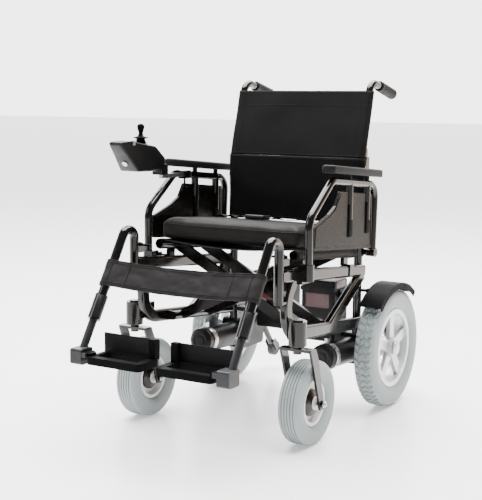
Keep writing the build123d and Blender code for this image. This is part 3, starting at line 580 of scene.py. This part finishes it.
def lower_place(x, height, v, ripple):
    z = 0.552 + v * (0.7428 - 0.552)
    fold = ripple * noise.noise(Vector((x * 9, z * 12, 7.0))) * 2.0
    pad = -0.004 * (1 - (x / 0.23) ** 4) if height > 0 else 0.0
    return Vector((x, POST_Y - height + fold + pad, z))


upper = strung("back_upper_panel", POST_X, 0.0128, 3.5, 0.008, 120, 44, upper_place, 0.003, back_nylon)
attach(upper, "left_back")
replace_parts(upper, "back_upper")
lower = strung("back_lower_panel", POST_X, 0.0146, 3.3, 0.008, 120, 40, lower_place, 0.003, back_nylon)
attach(lower, "left_frame")
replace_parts(lower, "back_lower")
SEAM_PROUD = 0.0012
seams = []
for v in (0.03, 0.78, 0.975):
    seams.append(([upper_place(*sling_point(i / 40 - 1, POST_X, 0.0128 + SEAM_PROUD, 3.2, 0.008), v, 0.0012)
                   for i in range(81)], False))
for share in (-0.76, 0.76):
    seams.append(([upper_place(*sling_point(share, POST_X, 0.0128 + SEAM_PROUD, 3.2, 0.008), i / 30, 0.0012)
                   for i in range(31)], False))
upper_seams = tubes("back_upper_seams", seams, 0.0009, seam_thread, "left_back")
seams = []
for v in (0.03, 0.97):
    seams.append(([lower_place(*sling_point(i / 40 - 1, POST_X, 0.0146 + SEAM_PROUD, 3.2, 0.008), v, 0.0012)
                   for i in range(81)], False))
for share in (-0.76, 0.76):
    seams.append(([lower_place(*sling_point(share, POST_X, 0.0146 + SEAM_PROUD, 3.2, 0.008), i / 30, 0.0012)
                   for i in range(31)], False))
lower_seams = tubes("back_lower_seams", seams, 0.0009, seam_thread, "left_frame")
for piece in (upper, upper_seams, lower, lower_seams):
    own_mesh(piece)


# ================================================================ calf strap
# Padded nylon band hooked round both hanger legs, with stitched borders and
# four upright seams where the end loops are sewn back.
HANGER_X, LEAN = 0.228, radians(31.5)
LEG_FOOT = Vector((0, -0.5095, 0.250))
LEG_UP = Vector((0, sin(LEAN), cos(LEAN)))
LEG_OUT = Vector((0, -cos(LEAN), sin(LEAN)))


def strap_place(x, height, v, ripple):
    up = (v - 0.5) * 0.074 - 0.005 * (1 - (x / HANGER_X) ** 2)
    loose = ripple * (
        noise.noise(Vector((x * 26, v * 2.5, 5.0))) + 0.5 * noise.noise(Vector((x * 60, v * 6, 2.0)))
    )
    return LEG_FOOT + LEG_UP * (0.224 + up) + LEG_OUT * (height + loose) + Vector((x, 0, 0))


strap = strung(
    "calf_strap_band", HANGER_X, 0.0152, 3.4, 0.012, 130, 16, strap_place, 0.0042, strap_nylon_painted_sheen, 0.0024
)
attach(strap, "left_hanger")
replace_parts(strap, "calf_strap")
STRAP_PROUD = 0.0024
seams = []
for v in (0.02, 0.12, 0.88, 0.98):
    points = [sling_point(i / 48 - 1, HANGER_X, 0.0152 + STRAP_PROUD, 3.2, 0.012) for i in range(97)]
    seams.append(([strap_place(*point, v, 0.0024) for point in points], False))
for share in (-0.76, -0.56, 0.56, 0.76):
    point = sling_point(share, HANGER_X, 0.0152 + STRAP_PROUD, 3.2, 0.012)
    seams.append(([strap_place(*point, i / 16, 0.0024) for i in range(17)], False))
strap_seams = tubes("calf_strap_seams", seams, 0.0009, seam_thread, "left_hanger")
for piece in (strap, strap_seams):
    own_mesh(piece)


# ================================================================ heel loops
# Black polyester webbing behind each heel, on the rear edge of the footplate. It
# leans back a little at its free top edge.
for side, way in SIDES.items():
    low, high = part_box(f"{side}_heel_loop")
    bm = bmesh.new()
    bmesh.ops.create_grid(bm, x_segments=40, y_segments=10, size=1.0)
    for v in bm.verts:
        u, up = v.co.x, (v.co.y + 1) / 2
        lean = 0.006 * (1 - u ** 2) * up + 0.0008 * noise.noise(Vector((u * 3, up * 2, way)))
        v.co = Vector(((low.x + high.x) / 2 + u * (high.x - low.x) / 2, low.y + 0.0016 + lean,
                       low.z + up * (high.z - low.z) - 0.002 * (1 - u ** 2) * up))
    loop = put(f"{side}_heel_strap", bm, webbing)
    solid = loop.modifiers.new("webbing", "SOLIDIFY")
    solid.thickness = 0.0024
    solid.offset = 0.0
    edge = loop.modifiers.new("edge", "BEVEL")
    edge.width = 0.0007
    edge.segments = 2
    settled(loop)
    smooth(loop)
    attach(loop, f"{side}_footplate")
    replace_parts(loop, f"{side}_heel_loop")


# ================================================================ lap belt
# Two polyester straps laid over the cushion, meeting at a moulded acetal buckle
# with a shallow sunk panel in its top.
def top_of_cushion(x, y):
    hit, where, _, _ = cushion.ray_cast(Vector((x, y, 1.0)), Vector((0, 0, -1)))
    return where.z if hit else 0.56


for side, way in SIDES.items():
    start, end = Vector((way * 0.200, 0.1225, 0)), Vector((way * 0.026, 0.0085, 0))
    bm = bmesh.new()
    bmesh.ops.create_grid(bm, x_segments=40, y_segments=6, size=1.0)
    run = (end - start).normalized()
    cross = Vector((-run.y, run.x, 0))
    for v in bm.verts:
        u = (v.co.x + 1) / 2
        at = start.lerp(end, u) + cross * (v.co.y * 0.019)
        arch = 0.0035 + 0.004 * sin(u * 9) ** 2 * (1 + 0.4 * v.co.y * way)
        v.co = Vector((at.x, at.y, top_of_cushion(at.x, at.y) + arch))
    belt = put(f"{side}_belt_strap", bm, webbing)
    solid = belt.modifiers.new("webbing", "SOLIDIFY")
    solid.thickness = 0.0018
    solid.offset = 0.0
    settled(belt)
    smooth(belt)
    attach(belt, "seat")
    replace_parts(belt, "seat_belt")
    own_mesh(belt)
buckle_plastic = hard_finish("buckle_black_acetal", "#131314", "#1b1b1d", 0.35, 0.8, 0.03)
bm = bmesh.new()
bmesh.ops.create_cube(bm, size=1.0)
bmesh.ops.scale(bm, verts=bm.verts, vec=(0.062, 0.043, 0.013))
bmesh.ops.bevel(bm, geom=bm.edges[:], offset=0.004, affect="EDGES", segments=3, profile=0.5, material=-1)
top = [f for f in bm.faces if f.normal.z > 0.9]
bmesh.ops.inset_region(bm, faces=top, thickness=0.006, depth=-0.0015)
bmesh.ops.rotate(bm, verts=bm.verts, cent=(0, 0, 0), matrix=Matrix.Rotation(-REST_TILT, 3, "X"))
bmesh.ops.translate(bm, verts=bm.verts, vec=(0, 0.0015, top_of_cushion(0, 0.0015) + 0.0085))
buckle = smooth(put("belt_buckle", bm, buckle_plastic, "seat"))
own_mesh(buckle)


# ================================================================ arm pads
# Near-black self-skinning polyurethane, rounded and leather grained, so it shines
# little. Two round posts go down into the side panel's pockets.
def grained_finish(name, colour, other, grain_mm, rough):
    """Moulded leather grain: small raised cells with soft valleys."""
    material, tree = blank_material(name)
    place = add(tree, "ShaderNodeTexCoord").outputs["Object"]
    cells = add(
        tree, "ShaderNodeTexVoronoi", {"Vector": place, "Scale": 1000 / grain_mm}, feature="SMOOTH_F1"
    )
    cloud = add(tree, "ShaderNodeTexNoise", {"Vector": place, "Scale": 22.0, "Detail": 4.0})
    shade = add(
        tree, "ShaderNodeMix", {0: cloud.outputs["Fac"], 6: linear(colour), 7: linear(other)},
        data_type="RGBA",
    )
    bump = add(
        tree, "ShaderNodeBump", {"Height": cells.outputs["Distance"], "Distance": 0.00035, "Strength": 0.7}
    )
    shader = add(
        tree, "ShaderNodeBsdfPrincipled",
        {
            "Base Color": shade.outputs[2], "Roughness": rough, "Normal": bump.outputs[0],
            "Specular IOR Level": 0.1,
        },
    )
    add(tree, "ShaderNodeOutputMaterial", {"Surface": shader.outputs[0]})
    return material


pad_skin = grained_finish("arm_pad_dark_grey_pu", "#131415", "#1b1c1e", 2.2, 0.5)
ARM_X = 0.257
PAD_LENGTH, PAD_SLOPE = 0.333, radians(4.75)
pad_turn = Matrix.Translation((0, -0.0755, 0.716)) @ Matrix.Rotation(-PAD_SLOPE, 4, "X")
for side, way in SIDES.items():
    bm = bmesh.new()
    bmesh.ops.create_cube(bm, size=1.0)
    for v in bm.verts:
        v.co = Vector((v.co.x * 0.040, PAD_LENGTH / 2 + v.co.y * PAD_LENGTH, 0.011 + v.co.z * 0.022))
    sides = [e for e in bm.edges if abs((e.verts[0].co - e.verts[1].co).z) > 0.01]
    bmesh.ops.bevel(bm, geom=sides, offset=0.013, affect="EDGES", segments=5, profile=0.5, material=-1)
    rims = [e for e in bm.edges if e.verts[0].co.z > 0.02 and e.verts[1].co.z > 0.02]
    bmesh.ops.bevel(bm, geom=rims, offset=0.0085, affect="EDGES", segments=5, profile=0.6, material=-1)
    rims = [e for e in bm.edges if e.verts[0].co.z < 0.001 and e.verts[1].co.z < 0.001]
    bmesh.ops.bevel(bm, geom=rims, offset=0.003, affect="EDGES", segments=2, profile=0.5, material=-1)
    bmesh.ops.transform(bm, matrix=Matrix.Translation((way * ARM_X, 0, 0)) @ pad_turn, verts=bm.verts)
    for y in (0.0655, 0.1815):
        slope_z = 0.698 - (y + 0.0385) * tan(radians(5)) * 0.95
        post = bmesh.ops.create_cone(
            bm, cap_ends=True, segments=32, radius1=0.007, radius2=0.007, depth=0.118
        )
        bmesh.ops.translate(bm, verts=post["verts"], vec=(way * ARM_X, y, slope_z - 0.096 + 0.059))
    pad = smooth(put(f"{side}_arm_pad_skin", bm, pad_skin, f"{side}_arm_rest_pad"), 35)
    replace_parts(pad, f"{side}_arm_pad")


# ================================================================ push grips
# Black rubber sleeves with finger ribs and a thicker closed end, pushed over the
# cane ends; they follow the canes' droop.
grip_rubber = hard_finish("grip_black_rubber", "#0a0a0a", "#101010", 0.5, 0.7, 0.06, gleam=0.3)
grip_drop = atan2(36, 158)
for side, way in SIDES.items():
    profile = [(0.0, 0.0112), (0.0, 0.0145), (0.003, 0.0163)]
    for rib in range(9):
        a = 0.010 + rib * 0.0092
        profile += [(a, 0.0163), (a + 0.0022, 0.0149), (a + 0.0046, 0.0149), (a + 0.0068, 0.0163)]
    profile += [(0.098, 0.0168), (0.103, 0.0158), (0.1057, 0.0125), (0.1062, 0.0)]
    profile += [(0.1015, 0.0), (0.1015, 0.0112)]
    bm = spun(profile, (0, 0, 0), 48)
    bmesh.ops.rotate(bm, verts=bm.verts, cent=(0, 0, 0), matrix=Matrix.Rotation(pi / 2, 3, "Z"))
    bmesh.ops.rotate(bm, verts=bm.verts, cent=(0, 0, 0), matrix=Matrix.Rotation(-grip_drop, 3, "X"))
    bmesh.ops.translate(bm, verts=bm.verts, vec=(way * POST_X, 0.3455, 0.968 - 36 * 60 / 158 / 1000))
    grip = smooth(put(f"{side}_grip_ribbed", bm, grip_rubber, f"{side}_back"), 35)
    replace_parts(grip, f"{side}_push_grip")


# ================================================================ joystick
# Folded boot of three rings under a disc, a slim neck and a rounded knob, spun as
# one black moulding about the stem.
STICK = Vector((-0.269, -0.1935, 0.778))
outline = [(-0.020, 0.0), (-0.020, 0.008), (-0.006, 0.008), (-0.004, 0.0165)]
for fold in range(3):
    r = 0.0200 - fold * 0.0022
    a = 0.001 + fold * 0.0058
    outline += [(a, r - 0.004), (a + 0.0022, r), (a + 0.0032, r), (a + 0.0048, r - 0.005)]
outline += [(0.0195, 0.0150), (0.0205, 0.0215), (0.0225, 0.0215), (0.0245, 0.0120), (0.028, 0.0072)]
outline += [(0.036, 0.0062), (0.041, 0.0075), (0.046, 0.0095), (0.0515, 0.0105), (0.056, 0.0096)]
outline += [(0.0592, 0.0065), (0.0608, 0.0)]
bm = spun(outline, STICK, 48, "Z")
stick = smooth(put("joystick_boot_and_knob", bm, moulded_black, "stick"), 60)
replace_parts(stick, "joystick")


# ================================================================ controller case
# Moulded ABS case: a tapered nose, a sloped key face towards the hand, a foot
# over the mounting bar and a round pale switch on its lower front.
def case_shell(outline, half, nose, bevel):
    """Side outline pulled across, narrowed towards the nose and rounded."""
    bm = bmesh.new()
    ring = [bm.verts.new((-half, y, z)) for y, z in outline]
    face = bm.faces.new(ring)
    pulled = bmesh.ops.extrude_face_region(bm, geom=[face])["geom"]
    moved = [g for g in pulled if isinstance(g, bmesh.types.BMVert)]
    bmesh.ops.translate(bm, verts=moved, vec=(2 * half, 0, 0))
    bmesh.ops.recalc_face_normals(bm, faces=bm.faces)
    for v in bm.verts:
        v.co.x *= 1 - nose * max(0.0, min(1.0, (-0.245 - v.co.y) / 0.07))
    bmesh.ops.bevel(bm, geom=bm.edges[:], offset=bevel, affect="EDGES", segments=4, profile=0.5, material=-1)
    bmesh.ops.translate(bm, verts=bm.verts, vec=(STICK.x, 0, 0))
    return bm


bm = case_shell(
    [(-0.1225, 0.705), (-0.1185, 0.742), (-0.1645, 0.776), (-0.276, 0.7925), (-0.312, 0.791),
     (-0.3165, 0.783), (-0.286, 0.752), (-0.2465, 0.7065)],
    0.0345, 0.42, 0.0065,
)
foot = bmesh.ops.create_cube(bm, size=1.0)["verts"]
bmesh.ops.scale(bm, verts=foot, vec=(0.034, 0.030, 0.030))
bmesh.ops.translate(bm, verts=foot, vec=(-0.2500, -0.1255, 0.7085))
case = smooth(put("controller_case", bm, housing_plastic, "control_arm"), 35)
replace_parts(case, "controller_housing")
outline = [(0.0, 0.0), (0.0, 0.0085), (0.002, 0.0085), (0.0032, 0.0074), (0.0026, 0.0060), (0.0026, 0.0)]
bm = spun(outline, (0, 0, 0), 40)
front = Vector((0, -0.0455, -0.0395)).normalized()
bmesh.ops.rotate(bm, verts=bm.verts, cent=(0, 0, 0),
                 matrix=Vector((1, 0, 0)).rotation_difference(front).to_matrix())
bmesh.ops.translate(bm, verts=bm.verts, vec=(STICK.x, -0.2675, 0.7295))
switch = smooth(put("controller_round_switch", bm, button_gloss, "control_arm"), 35)


# ================================================================ leg sleeves
# Dark grey sleeve with rounded ends, slid over the lower part of each hanger tube
# where the footrest leg goes in.
for side, way in SIDES.items():
    outline = [
        (0.094, 0.0128), (0.094, 0.0158), (0.096, 0.0170), (0.159, 0.0170), (0.161, 0.0158), (0.161, 0.0128),
    ]
    bm = spun(outline, (0, 0, 0), 48, "Z")
    lean = Vector((0, 0, 1)).rotation_difference(LEG_UP).to_matrix()
    bmesh.ops.rotate(bm, verts=bm.verts, cent=(0, 0, 0), matrix=lean)
    bmesh.ops.translate(bm, verts=bm.verts, vec=LEG_FOOT + Vector((way * HANGER_X, 0, 0)))
    sleeve = smooth(put(f"{side}_hanger_sleeve", bm, sleeve_grey, f"{side}_hanger"), 35)


# ================================================================ caster hubs
# Dark moulded nylon dome that covers each caster's bearing, on both faces of the
# wheel. It keeps a soft gloss.
hub_dark = hard_finish(
    "caster_hub_dark_brown_nylon", "#17110e", "#211915", 0.28, 1.2, 0.03, coat=0.2, gleam=0.4
)
for side, way in SIDES.items():
    centre, reach = middle(f"{side}_caster_tyre")
    for facing in (-1, 1):
        outline = [
            (0.008, 0.0), (0.008, 0.037), (0.014, 0.036), (0.020, 0.030), (0.0245, 0.020), (0.0265, 0.010),
            (0.0270, 0.0),
        ]
        bm = spun(outline, (0, 0, 0), 48)
        if facing < 0:
            bmesh.ops.rotate(bm, verts=bm.verts, cent=(0, 0, 0), matrix=Matrix.Rotation(pi, 3, "Z"))
        bmesh.ops.translate(bm, verts=bm.verts, vec=centre)
        end = "in" if facing * way < 0 else "out"
        hub = smooth(put(f"{side}_caster_hub_{end}", bm, hub_dark, f"{side}_caster_wheel"), 35)


# ================================================================ side panel trim
# Moulded bead round the face of each skirt guard, and the two pockets in which
# the pad posts' sleeves end.
CORNER = 0.010
for side, way in SIDES.items():
    outline = [
        (-0.1475, 0.521), (-0.1440, 0.572), (-0.100, 0.585), (-0.062, 0.597), (-0.030, 0.613),
        (-0.012, 0.636), (0.006, 0.6535), (0.199, 0.6365), (0.2085, 0.492),
    ]
    rounded = []
    for before, at, after in zip(outline[-1:] + outline[:-1], outline, outline[1:] + outline[:1]):
        at = Vector(at)
        for t in (0.0, 0.25, 0.5, 0.75, 1.0):
            near = at + (Vector(before) - at).normalized() * CORNER * (1 - t)
            far = at + (Vector(after) - at).normalized() * CORNER * t
            rounded.append(at * (2 * t * (1 - t)) + near * (1 - t) ** 2 + far * t ** 2)
    for face in (-1, 1):
        points = [Vector((way * ARM_X + face * 0.0043, p.x, p.y)) for p in rounded]
        end = "in" if face * way < 0 else "out"
        bead = tubes(f"{side}_panel_bead_{end}", [(points, True)], 0.0013, panel_gloss, f"{side}_armrest")
    for label, y in (("front", 0.0655), ("rear", 0.1815)):
        bm = bmesh.new()
        bmesh.ops.create_cube(bm, size=1.0)
        bmesh.ops.scale(bm, verts=bm.verts, vec=(0.0155, 0.027, 0.092))
        bmesh.ops.bevel(
            bm, geom=bm.edges[:], offset=0.003, affect="EDGES", segments=2, profile=0.5, material=-1
        )
        bmesh.ops.translate(bm, verts=bm.verts, vec=(way * ARM_X, y, 0.577))
        pocket = smooth(put(f"{side}_panel_pocket_{label}", bm, moulded_black, f"{side}_armrest"), 35)


# ================================================================ fasteners
# Zinc-plated domed cap nuts on washers, at both ends of the caster axles and in
# front of the brace pivot: small bright points among the black.
def cap_nut(name, at, way, radius, body, material=None):
    """A domed nut on a washer; way is the direction it stands out."""
    r = radius
    outline = [(0.0, 0.0), (0.0, r * 1.5), (r * 0.22, r * 1.5), (r * 0.28, r * 1.02), (r * 0.75, r),
               (r * 1.05, r * 0.8), (r * 1.25, r * 0.42), (r * 1.3, 0.0)]
    bm = spun(outline, (0, 0, 0), 24)
    turn_to = Vector((1, 0, 0)).rotation_difference(Vector(way)).to_matrix()
    bmesh.ops.rotate(bm, verts=bm.verts, cent=(0, 0, 0), matrix=turn_to)
    bmesh.ops.translate(bm, verts=bm.verts, vec=at)
    nut = smooth(put(name, bm, material or bright_zinc, body), 35)
    return nut


for side, way in SIDES.items():
    centre, _ = middle(f"{side}_caster_tyre")
    low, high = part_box(f"{side}_caster_fork")
    cap_nut(
        f"{side}_caster_nut_out", (high.x - 0.0004, centre.y, centre.z), (1, 0, 0), 0.0065, f"{side}_caster"
    )
    cap_nut(
        f"{side}_caster_nut_in", (low.x + 0.0004, centre.y, centre.z), (-1, 0, 0), 0.0065, f"{side}_caster"
    )
cap_nut("brace_pivot_nut", (0, -0.0985, 0.386), (0, -1, 0), 0.008, "brace_a")


# ================================================================ drive wheel hubs
# Low domed cap, painted like the rim, that closes the middle of each wheel's
# outer face.
for side, way in SIDES.items():
    centre, reach = middle(f"{side}_drive_rim")
    low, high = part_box(f"{side}_drive_rim")
    face = high.x if way > 0 else low.x
    outline = [
        (0.0, 0.0), (0.0, 0.021), (0.002, 0.0225), (0.004, 0.0215), (0.0065, 0.016), (0.0075, 0.008),
        (0.0078, 0.0),
    ]
    bm = spun(outline, (0, 0, 0), 48)
    if way < 0:
        bmesh.ops.rotate(bm, verts=bm.verts, cent=(0, 0, 0), matrix=Matrix.Rotation(pi, 3, "Z"))
    wheel_z = middle(f"{side}_drive_tyre")[0]
    bmesh.ops.translate(bm, verts=bm.verts, vec=(face - way * 0.001, wheel_z.y, wheel_z.z))
    cap = smooth(put(f"{side}_hub_cap", bm, rim_paint, f"{side}_drive_wheel"), 35)


# ================================================================ motor clamps
# Bright zinc-plated band with its screw lug round each motor, and a ringed end
# cap in the motor's own semi-gloss black.
MOTOR_X = 0.205
for side, way in SIDES.items():
    tilt = Matrix.Rotation(-atan2(0.045, 1.0), 3, "X")
    band = [
        (-0.010, 0.0372), (-0.010, 0.0386), (-0.008, 0.0392),
        (0.008, 0.0392), (0.010, 0.0386), (0.010, 0.0372),
    ]
    cap = [
        (-0.0035, 0.0), (-0.0035, 0.012), (-0.0015, 0.0135), (-0.0015, 0.020), (-0.0035, 0.0215),
        (-0.0035, 0.028), (-0.001, 0.031), (0.001, 0.031), (0.001, 0.0),
    ]
    fittings = (("band", band, 0.0535, bright_zinc), ("end_cap", cap, 0.0203, motor_coat))
    for label, outline, y, finish in fittings:
        z = 0.177 + (0.3015 - y - 0.060) * 0.045
        bm = spun(outline, (0, 0, 0), 64, "Y")
        bmesh.ops.rotate(bm, verts=bm.verts, cent=(0, 0, 0), matrix=tilt)
        bmesh.ops.translate(bm, verts=bm.verts, vec=(way * MOTOR_X, y, z))
        if label == "band":
            ear = bmesh.ops.create_cube(bm, size=1.0)["verts"]
            bmesh.ops.scale(bm, verts=ear, vec=(0.008, 0.018, 0.016))
            bmesh.ops.translate(bm, verts=ear, vec=(way * MOTOR_X, y, z + 0.045))
        piece = smooth(put(f"{side}_motor_{label}", bm, finish, f"{side}_frame"), 35)


# ================================================================ battery labels
# Plain dark red film, without print, stuck on the front and the side of each
# battery case.
label_red = hard_finish("label_dark_red_film", "#4a0f14", "#5a151a", 0.3, 2.0, 0.01, coat=0.2)
for side, way in SIDES.items():
    low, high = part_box(f"{side}_battery")
    for face, size, at in (
        ("front", (0.078, 0.0006, 0.042), (way * 0.105, low.y + 0.0005, 0.318)),
        ("side", (0.0006, 0.060, 0.020), (way * 0.1603, (low.y + 0.001) + 0.046, 0.3665)),
    ):
        bm = bmesh.new()
        bmesh.ops.create_cube(bm, size=1.0)
        bmesh.ops.scale(bm, verts=bm.verts, vec=size)
        bmesh.ops.bevel(
            bm, geom=bm.edges[:], offset=0.00015, affect="EDGES", segments=1, profile=0.5, material=-1
        )
        bmesh.ops.translate(bm, verts=bm.verts, vec=at)
        smooth(put(f"{side}_battery_label_{face}", bm, label_red, f"{side}_frame"))
